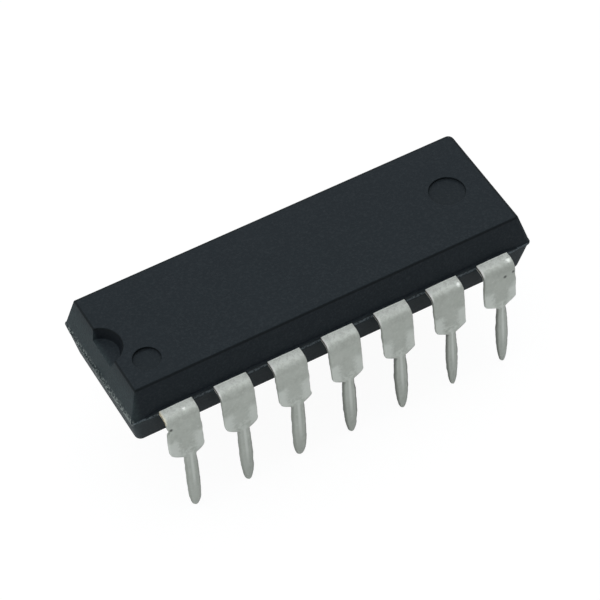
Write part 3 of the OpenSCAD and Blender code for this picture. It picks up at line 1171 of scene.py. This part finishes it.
def lead_tree():
    lead = Shape("lead", lead_inputs)
    lay_grid(lead)
    run_down(lead)
    strip_width(lead)
    bend(lead, *section(lead))
    mesh = lead.out(lead.grid, "Mesh")
    marks = {"along": lead.run, "across": lead.share, "cut_edge": 1 - abs(lead.facing)}
    for name, value in marks.items():
        mesh = lead.then("StoreNamedAttribute", mesh, Name=name, Value=value)
    bumps = lead.node("GeometryNodeCaptureAttribute", {"domain": "POINT"})
    bumps.capture_items.new("FLOAT", "bumps")
    lead.put(bumps.inputs["Geometry"], mesh)
    lead.put(bumps.inputs[1], lead.lift)
    mesh = lead.then("SetPosition", lead.out(bumps), Position=lead.bent_to)
    mesh = lead.then("MergeByDistance", mesh, Distance=merge_within)
    normal = lead.out(lead.node("GeometryNodeInputNormal"))
    mesh = lead.then("SetPosition", mesh, Offset=lead.scaled(normal, lead.out(bumps, 1)))
    mesh = lead.then("Transform", mesh, Scale=(mm, mm, mm))
    mesh = lead.then("SetShadeSmooth", mesh)
    mesh = lead.then("RealizeInstances", mesh)
    mesh = lead.then("SetMaterial", mesh, Material=solder)
    lead.node("NodeGroupOutput", None, {"Geometry": mesh})
    return lead.tree


lead_shape = lead_tree()
print("lead tree:", len(lead_shape.nodes), "nodes")

# %% [markdown]
# Each lead is then made with its own few differences. No two are bent quite alike: the near row
# is listed lead by lead, and the far row takes small random bends from a fixed seed.

# %% Fourteen leads
near_row = {
    1: {"Sideways": -0.05, "Pin offset": 0.10, "Bite": 0.15, "Blunt": 4.0, "Neck": 2.4,
        "Corner": 0.44, "Pin half width": 0.305, "Taper": -0.02, "Longer shoulder": 0.13},
    2: {"Pin offset": 0.08, "Blunt": 2.9, "Neck": 2.1, "Corner": 0.42, "Pin half width": 0.31,
        "Taper": 0.05, "Longer shoulder": 0.13},
    3: {"Sideways": -0.09, "Pin offset": 0.15, "Blunt": 4.5, "Neck": 2.0, "Longer shoulder": 0.15,
        "Shortening": 0.06},
    4: {"Sideways": -0.01, "Lean": 0.015, "Blunt": 2.3, "Neck": 1.6, "Longer shoulder": 0.1},
    5: {"Lean": 0.025, "Blunt": 2.0, "Neck": 1.6, "Longer shoulder": 0.12, "Corner": 0.13},
    6: {"Lean": 0.025, "Blunt": 1.8, "Neck": 1.5, "Longer shoulder": 0.12, "Corner": 0.14,
        "Pin half width": 0.29, "Pin half length": 2.0},
    7: {"Lean": 0.028, "Blunt": 1.9, "Neck": 1.5, "Longer shoulder": -0.1, "Corner": 0.13,
        "Taper": 0.02, "Pin half width": 0.30, "Pin half length": 2.05},
}
numbers = range(1, 2 * leads_per_side + 1)
seed_step = 10.0
chance = random.Random(14)
differences = {n: {"Lean": -0.05 * chance.random(), "Sideways": 0.04 * (chance.random() - 0.5),
                   "Shortening": 0.03 * chance.random(), "Blunt": 2 + 1.4 * chance.random()}
               for n in numbers}
for number, chosen in near_row.items():
    differences[number].update({"Shortening": 0.0, "Sideways": 0.0, **chosen})


def outer_lead(number):
    """Mesh of a lead from just inside the body to its tip, at its own place."""
    holder = linked("lead_maker", bpy.data.meshes.new("lead_maker"))
    modifier = holder.modifiers.new("lead", "NODES")
    modifier.node_group = lead_shape
    values = {**differences[number], "Seed": seed_step * number}
    for socket in lead_shape.interface.items_tree:
        if socket.in_out == "INPUT":
            modifier[socket.identifier] = values.get(socket.name, socket.default_value)
    graph = bpy.context.evaluated_depsgraph_get()
    mesh = bpy.data.meshes.new_from_object(holder.evaluated_get(graph), depsgraph=graph)
    bpy.data.objects.remove(holder)
    column = (number - 1) % leads_per_side - (leads_per_side - 1) / 2
    turn = Matrix.Rotation(math.pi if number > leads_per_side else 0, 4, "Z")
    mesh.transform(turn @ Matrix.Translation((column * pitch, -root_start, seam_z)))
    return mesh


def inner_finger(number):
    """The part of the frame's lead that lies deeper in the body than the outer lead starts."""
    shape = bmesh.new()
    shape.from_mesh(merged_copy(f"lead_{number}"))
    side = 1 if number > leads_per_side else -1
    plane = (0, side * root_start, 0)
    cut_faces = bmesh.ops.bisect_plane(
        shape, geom=shape.verts[:] + shape.edges[:] + shape.faces[:], plane_co=plane,
        plane_no=(0, side, 0), clear_outer=True)
    rim = [e for e in cut_faces["geom_cut"] if isinstance(e, bmesh.types.BMEdge)]
    bmesh.ops.holes_fill(shape, edges=rim)
    return shape


def make_lead(number):
    shape = inner_finger(number)
    shape.from_mesh(outer_lead(number))
    for face in shape.faces:
        face.material_index = 0
    mesh = bpy.data.meshes.new(f"formed_lead_{number}")
    shape.to_mesh(mesh)
    shape.free()
    piece = linked(f"formed_lead_{number}", mesh)
    finish_piece(piece, solder, "solder_plate", f"lead_{number}")
    return piece


leads = [make_lead(number) for number in numbers]
print("leads:", len(leads), "of", len(leads[0].data.polygons), "faces")

# %% [markdown]
# ## Floor and light
#
# The picture shows the part on plain white. The floor is a pale sheet. What the camera sees of
# it directly is mostly plain white, so that the background is even and a faint shadow stays.
# The metal mirrors some of that white too. All of it would flatten the part's shading.

# %% Floor
floor_reach = 0.6
paper_colour = 0.84
floor_light = 0.52
white_share = 0.88
mirrored_share = 0.2


def plain_white(tree):
    """1 where the camera sees something directly, and a share where a surface mirrors it."""
    rays = tree.node("ShaderNodeLightPath")
    mirrored = tree.out(rays, "Is Glossy Ray") + tree.out(rays, "Is Transmission Ray")
    return (tree.out(rays, "Is Camera Ray") + mirrored_share * mirrored).at_most(1)


def show_mixed(tree, output, factor, lit, white):
    """Ends a tree in a mix of what the light makes and plain white."""
    mixed = tree.node("ShaderNodeMixShader", None, {
        0: factor, 1: tree.out(lit), 2: tree.out(white)})
    tree.node(output, None, {"Surface": tree.out(mixed)})


def floor_finish():
    material = bpy.data.materials.new("white_sheet")
    material.use_nodes = True
    tree = Tree(material.node_tree)
    paper = tree.node("ShaderNodeBsdfDiffuse", None,
                      {"Color": rgb(paper_colour, paper_colour, paper_colour)})
    white = tree.node("ShaderNodeEmission", None, {
        "Strength": (1 - (1 - white_share) * floor_light) / white_share})
    show_mixed(tree, "ShaderNodeOutputMaterial", plain_white(tree) * white_share, paper, white)
    return material


floor_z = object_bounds()[0][2]
floor_mesh = bpy.data.meshes.new("floor")
floor_mesh.from_pydata([(x * floor_reach, y * floor_reach, floor_z) for x, y in
                        ((-1, -1), (1, -1), (1, 1), (-1, 1))], [], [(0, 1, 2, 3)])
floor = linked("floor", floor_mesh)
floor.data.materials.append(floor_finish())
print("floor:", 2 * floor_reach, "m wide")

# %% [markdown]
# The light is one large soft sky instead of lamps, because a metal lead mirrors every lamp as a
# hard streak. It is brightest high up behind the chip and dim near the horizon, so the top face
# is lit, the near side is darker and the rounded edges between them draw a dark line. A second,
# low patch on the left lifts the notched end.

# %% Light
sky_colour = rgb(0.96, 0.99, 1.0)
horizon_light = 0.20
overhead_light = 1.05
overhead_from = Vector((0.12, 0.42, 0.90)).normalized()
overhead_spread = (0.2, 1.0)
low_light = 1.1
low_from = Vector((-0.95, -0.05, 0.10)).normalized()
low_spread = (0.78, 0.98)


def sky():
    world = bpy.data.worlds.new("studio")
    world.use_nodes = True
    tree = Tree(world.node_tree)
    toward = tree.out(tree.node("ShaderNodeTexCoord"), "Generated")

    def facing(direction, low, high):
        made = tree.node("ShaderNodeVectorMath", {"operation": "DOT_PRODUCT"},
                         {0: toward, 1: direction})
        return tree.out(made, "Value").step(low, high)

    strength = (horizon_light + overhead_light * facing(overhead_from, *overhead_spread)
                + low_light * facing(low_from, *low_spread))
    light = tree.node("ShaderNodeBackground", None, {"Color": sky_colour, "Strength": strength})
    white = tree.node("ShaderNodeBackground", None, {"Color": rgb(1, 1, 1), "Strength": 1.0})
    show_mixed(tree, "ShaderNodeOutputWorld", plain_white(tree), light, white)
    bpy.context.scene.world = world


sky()
print(f"sky from {horizon_light} at the horizon to {horizon_light + overhead_light} overhead")
